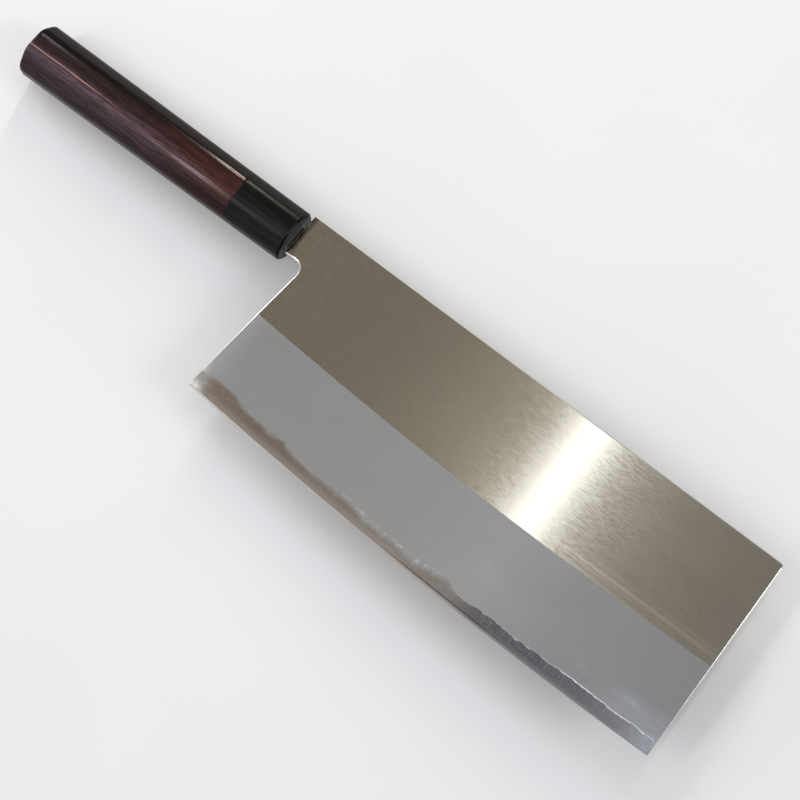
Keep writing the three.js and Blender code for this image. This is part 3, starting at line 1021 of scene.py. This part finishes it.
def polished_rim():
    """Eased and polished outline of the blade, softer along the spine."""
    material, tree, shader = new_finish("polished_rim", Metallic=1)
    y = place_of(tree)["Y"]
    lines = noise(placed(tree), (200, 200, 2600), detail=2)
    spine_end = (SPINE_HEIGHT - SPINE_DROP) / MM
    on_spine = rise(y, spine_end - 2, spine_end - 1)
    tone = ramp(lines, (0.3, (0.7, 0.69, 0.67)), (0.7, (0.78, 0.77, 0.75)))
    tone = mix(tone, (0.36, 0.34, 0.31), on_spine)
    fineness = spread(lines, 0.3, 0.7, 0.24, 0.28)
    wire(shader, Base_Color=tone, Roughness=maths("ADD", fineness, product(on_spine, 0.24)))
    return material


def rosewood():
    """Dark oiled rosewood grained along the handle and red by the ferrule, with painted facet shading: a
    painted purple sheen on the edge's side, and painted shade towards the spine's side and along the
    lowest side.
    """
    material, tree, shader = new_finish("rosewood", Specular_IOR_Level=0.07)
    place = placed(tree)
    x, y, z = place_of(tree)
    bands = noise(place, (7, 330, 330), detail=4, roughness=0.6, distortion=0.2)
    streaks = noise(place, (60, 1900, 1900), roughness=0.65)
    fibres = noise(place, (110, 2400, 2400), detail=2, roughness=0.6)
    # Colours across the handle hold painted light: a painted purple sheen on the facets towards the edge,
    # and painted shade on the facets towards the spine and on the lowest side.
    across = spread(y, -9, 9)
    purple_sheen_and_shade = ramp(across, (0, (0.04, 0.027, 0.032)), (0.14, (0.1, 0.07, 0.088)),
                  (0.36, (0.09, 0.06, 0.07)), (0.5, (0.039, 0.023, 0.023)),
                  (0.85, (0.006, 0.003, 0.0025)))
    red = ramp(across, (0, (0.03, 0.014, 0.014)), (0.14, (0.065, 0.031, 0.03)),
               (0.5, (0.066, 0.026, 0.024)), (0.85, (0.01, 0.004, 0.003)))
    tone = mix(purple_sheen_and_shade, red, rise(x, -95, -35))
    tone = mix(tone, (0.76, 0.73, 0.73), rise(bands, 0.62, 0.38), kind="MULTIPLY")
    tone = mix(tone, (1.35, 1.27, 1.27), rise(bands, 0.5, 0.72), kind="MULTIPLY")
    tone = mix(tone, (0.68, 0.66, 0.66), rise(streaks, 0.6, 0.38), kind="MULTIPLY")
    tone = mix(tone, (1.5, 1.4, 1.4), rise(fibres, 0.5, 0.7), kind="MULTIPLY")
    # Wandering line of pale sapwood
    wander = spread(noise(place, (18, 10, 10), detail=2), 0.2, 0.8, 1.7, 2.9)
    off_line = maths("ABSOLUTE", maths("ADD", y, wander))
    along_line = product(spread(x, -134, -114, 0.65, 1), spread(x, -112, -84, 1, 0))
    tone = mix(tone, (0.43, 0.24, 0.2), rise(off_line, 0.45, 0.08), along_line, rise(z, 8.6, 9.4),
               spread(streaks, 0.3, 0.6, 0.6, 1))
    pore = rise(fibres, 0.42, 0.34)
    tone = mix(tone, (0.004, 0.002, 0.002), pore, 0.75)
    wire(shader, Base_Color=tone, Roughness=spread(streaks, 0.3, 0.7, 0.09, 0.12))
    relief = maths("SUBTRACT", maths("MULTIPLY", streaks, 0.3), pore)
    raised(shader, relief, 0.02 * MM, 0.12)
    return material


def black_horn():
    """Polished black horn with faint lengthwise streaks, and a paler sanded end."""
    material, tree, shader = new_finish("black_horn", Specular_IOR_Level=0.07)
    place = placed(tree)
    x, y, z = place_of(tree)
    streaks = noise(place, (30, 700, 700), detail=4)
    fine = noise(place, (120, 2400, 2400), detail=2)
    # Painted facet shading: lighter towards the edge's side, darker on the top and towards the spine.
    tone = ramp(spread(y, -9, 9), (0.1, (0.013, 0.0135, 0.0155)), (0.3, (0.017, 0.0172, 0.018)),
                (0.5, (0.0095, 0.0095, 0.0098)), (0.85, (0.005, 0.005, 0.0045)))
    tone = mix(tone, (0.6, 0.6, 0.6), rise(streaks, 0.62, 0.38), kind="MULTIPLY")
    tone = mix(tone, (1.5, 1.5, 1.5), rise(fine, 0.5, 0.7), kind="MULTIPLY")
    # Painted shade as a black line on the chamfer, the sanded end, and a painted glint as a pale lip round
    # the slot
    end_x = (ferrule_high.x - SHOULDER.x) / MM
    chamfer_x = end_x - FERRULE_CHAMFER / MM
    # Painted shade: the chamfer is darkened to a black line.
    tone = mix(tone, (0.0025, 0.0025, 0.0025), rise(x, chamfer_x - 0.1, chamfer_x + 0.1))
    sanded = rise(x, end_x - 0.06, end_x - 0.03)
    tone = mix(tone, (0.045, 0.045, 0.044), sanded)
    slot_half = SLOT_WIDTH / 2 / MM
    slot_reach = SLOT_HEIGHT / 2 / MM
    # Painted glint: a pale lip round the slot stands in for light caught on the mouth's edge.
    tone = mix(tone, (0.3, 0.3, 0.29), sanded,
               rise(maths("ABSOLUTE", z), slot_half + 0.4, slot_half + 0.2),
               rise(maths("ABSOLUTE", y), slot_reach + 0.4, slot_reach))
    wire(shader, Base_Color=tone, Roughness=spread(fine, 0.3, 0.7, 0.18, 0.27))
    raised(shader, fine, 0.01 * MM, 0.5)
    return material


def plain_finish(name, scale, dark, light, detail=3, relief=0, **constants):
    """A material that only clouds from one colour to another, with a little relief where it has any."""
    material, tree, shader = new_finish(name, **constants)
    cloud = noise(placed(tree), scale, detail=detail)
    wire(shader, Base_Color=ramp(cloud, (0.3, dark), (0.7, light)))
    if relief:
        raised(shader, cloud, relief)
    return material


def pale_dowel_wood():
    """Bare pale wood inside the handle."""
    return plain_finish("pale_dowel_wood", (20, 900, 900), (0.4, 0.26, 0.12), (0.58, 0.41, 0.21),
                        detail=4, relief=0.05 * MM, Roughness=0.75)


def set_adhesive():
    """Set adhesive between tang and dowel."""
    return plain_finish("set_adhesive", (300, 300, 300), (0.5, 0.38, 0.16), (0.62, 0.5, 0.26),
                        Roughness=0.45)


def seal_resin():
    """Black resin in the ferrule's mouth."""
    return plain_finish("seal_resin", (700, 700, 700), (0.004, 0.004, 0.004), (0.012, 0.011, 0.01),
                        Roughness=0.3, Specular_IOR_Level=0.15)


def studio_floor():
    """Matte pale floor."""
    return plain_finish("studio_floor", (6, 6, 6), (0.76, 0.76, 0.765), (0.79, 0.79, 0.795),
                        detail=2, Roughness=0.9)


def finish_hidden_nodes():
    """Gives the inner CAD solids that stay their own finishes."""
    for node, material in (("dowel", pale_dowel_wood()), ("tang_bond", set_adhesive())):
        for slot in frame["nodes"][node].material_slots:
            slot.material = material


# Stage


def make_floor():
    """A pale floor, tilted so that it touches the knife where the knife would really rest."""
    turn = Matrix.Rotation(FLOOR_ROLL, 3, "X") @ Matrix.Rotation(FLOOR_PITCH, 3, "Y")
    up = turn @ Vector((0, 0, 1))
    lowest = min(up.dot(vertex.co) for piece in bpy.data.objects if piece.type == "MESH"
                 for vertex in piece.data.vertices)
    half = FLOOR_SIZE / 2
    corners = [turn @ Vector((x * half, y * half, 0)) + up * lowest for x, y in SQUARE]
    mesh = bpy.data.meshes.new("floor")
    mesh.from_pydata(corners, [], [(0, 1, 2, 3)])
    mesh.materials.append(studio_floor())
    floor = new_object("floor", mesh)


def add_softbox(name, place, aim, size, power, tint):
    """An oblong lamp from the table."""
    lamp = bpy.data.lights.new(name, "AREA")
    lamp.shape = "RECTANGLE"
    lamp.size, lamp.size_y = size
    lamp.energy = power
    lamp.color = tint
    holder = new_object(name, lamp)
    back = (Vector(place) - Vector(aim)).normalized()
    side = (Vector((1, 0, 0)) - back * back.x).normalized()
    turn = Matrix((side, back.cross(side), back)).transposed().to_4x4()
    holder.matrix_world = Matrix.Translation(SHOULDER + Vector(place) * MM) @ turn


def make_surround():
    """A pale sky, dimmer to the spine's side, with a soft glow that the blade's bright band mirrors."""
    world = bpy.data.worlds.new("studio")
    bpy.context.scene.world = world
    world.use_nodes = True
    tree = world.node_tree
    outward = add_node(tree, "ShaderNodeTexCoord").outputs["Generated"]
    x, y, z = add_node(tree, "ShaderNodeSeparateXYZ", {0: outward}).outputs
    tone = ramp(spread(z, -0.1, 1.0), (0.08, (0.46, 0.46, 0.46)), (0.22, (0.78, 0.78, 0.775)),
                (0.6, (0.5, 0.5, 0.5)), (1.0, (0.43, 0.43, 0.43)))
    tone = mix(tone, (0.3, 0.3, 0.3), rise(y, 0.3, 0.9), 0.5)
    over_band = product(window(x, -0.27, -0.06, -0.05, 0.08), rise(z, 0.5, 0.85))
    tone = mix(tone, (1, 0.98, 0.92), over_band, over_band, 0.8)
    background = tree.nodes["Background"]
    wire(background, Color=tone)
    background.inputs["Strength"].default_value = 1


def make_camera():
    """The photograph's own view of the blade."""
    ahead = (CAMERA_AIM - CAMERA_EYE).normalized()
    level = ahead.cross(Vector((0, 1, 0))).normalized()
    upright = level.cross(ahead)
    right = level * math.cos(CAMERA_ROLL) + upright * math.sin(CAMERA_ROLL)
    up = upright * math.cos(CAMERA_ROLL) - level * math.sin(CAMERA_ROLL)
    lens = bpy.data.cameras.new("portrait")
    lens.lens = CAMERA_LENS
    lens.sensor_width = SENSOR_WIDTH
    lens.clip_start = CAMERA_NEAR
    camera = new_object("portrait", lens)
    turn = Matrix((right, up, -ahead)).transposed().to_4x4()
    camera.matrix_world = Matrix.Translation(SHOULDER + CAMERA_EYE) @ turn
    bpy.context.scene.camera = camera


make_camera()
make_blade()
make_handle()
make_seal()
finish_hidden_nodes()
make_floor()
make_surround()
for softbox in SOFTBOXES:
    add_softbox(*softbox)
bpy.context.scene.view_settings.view_transform = "Standard"
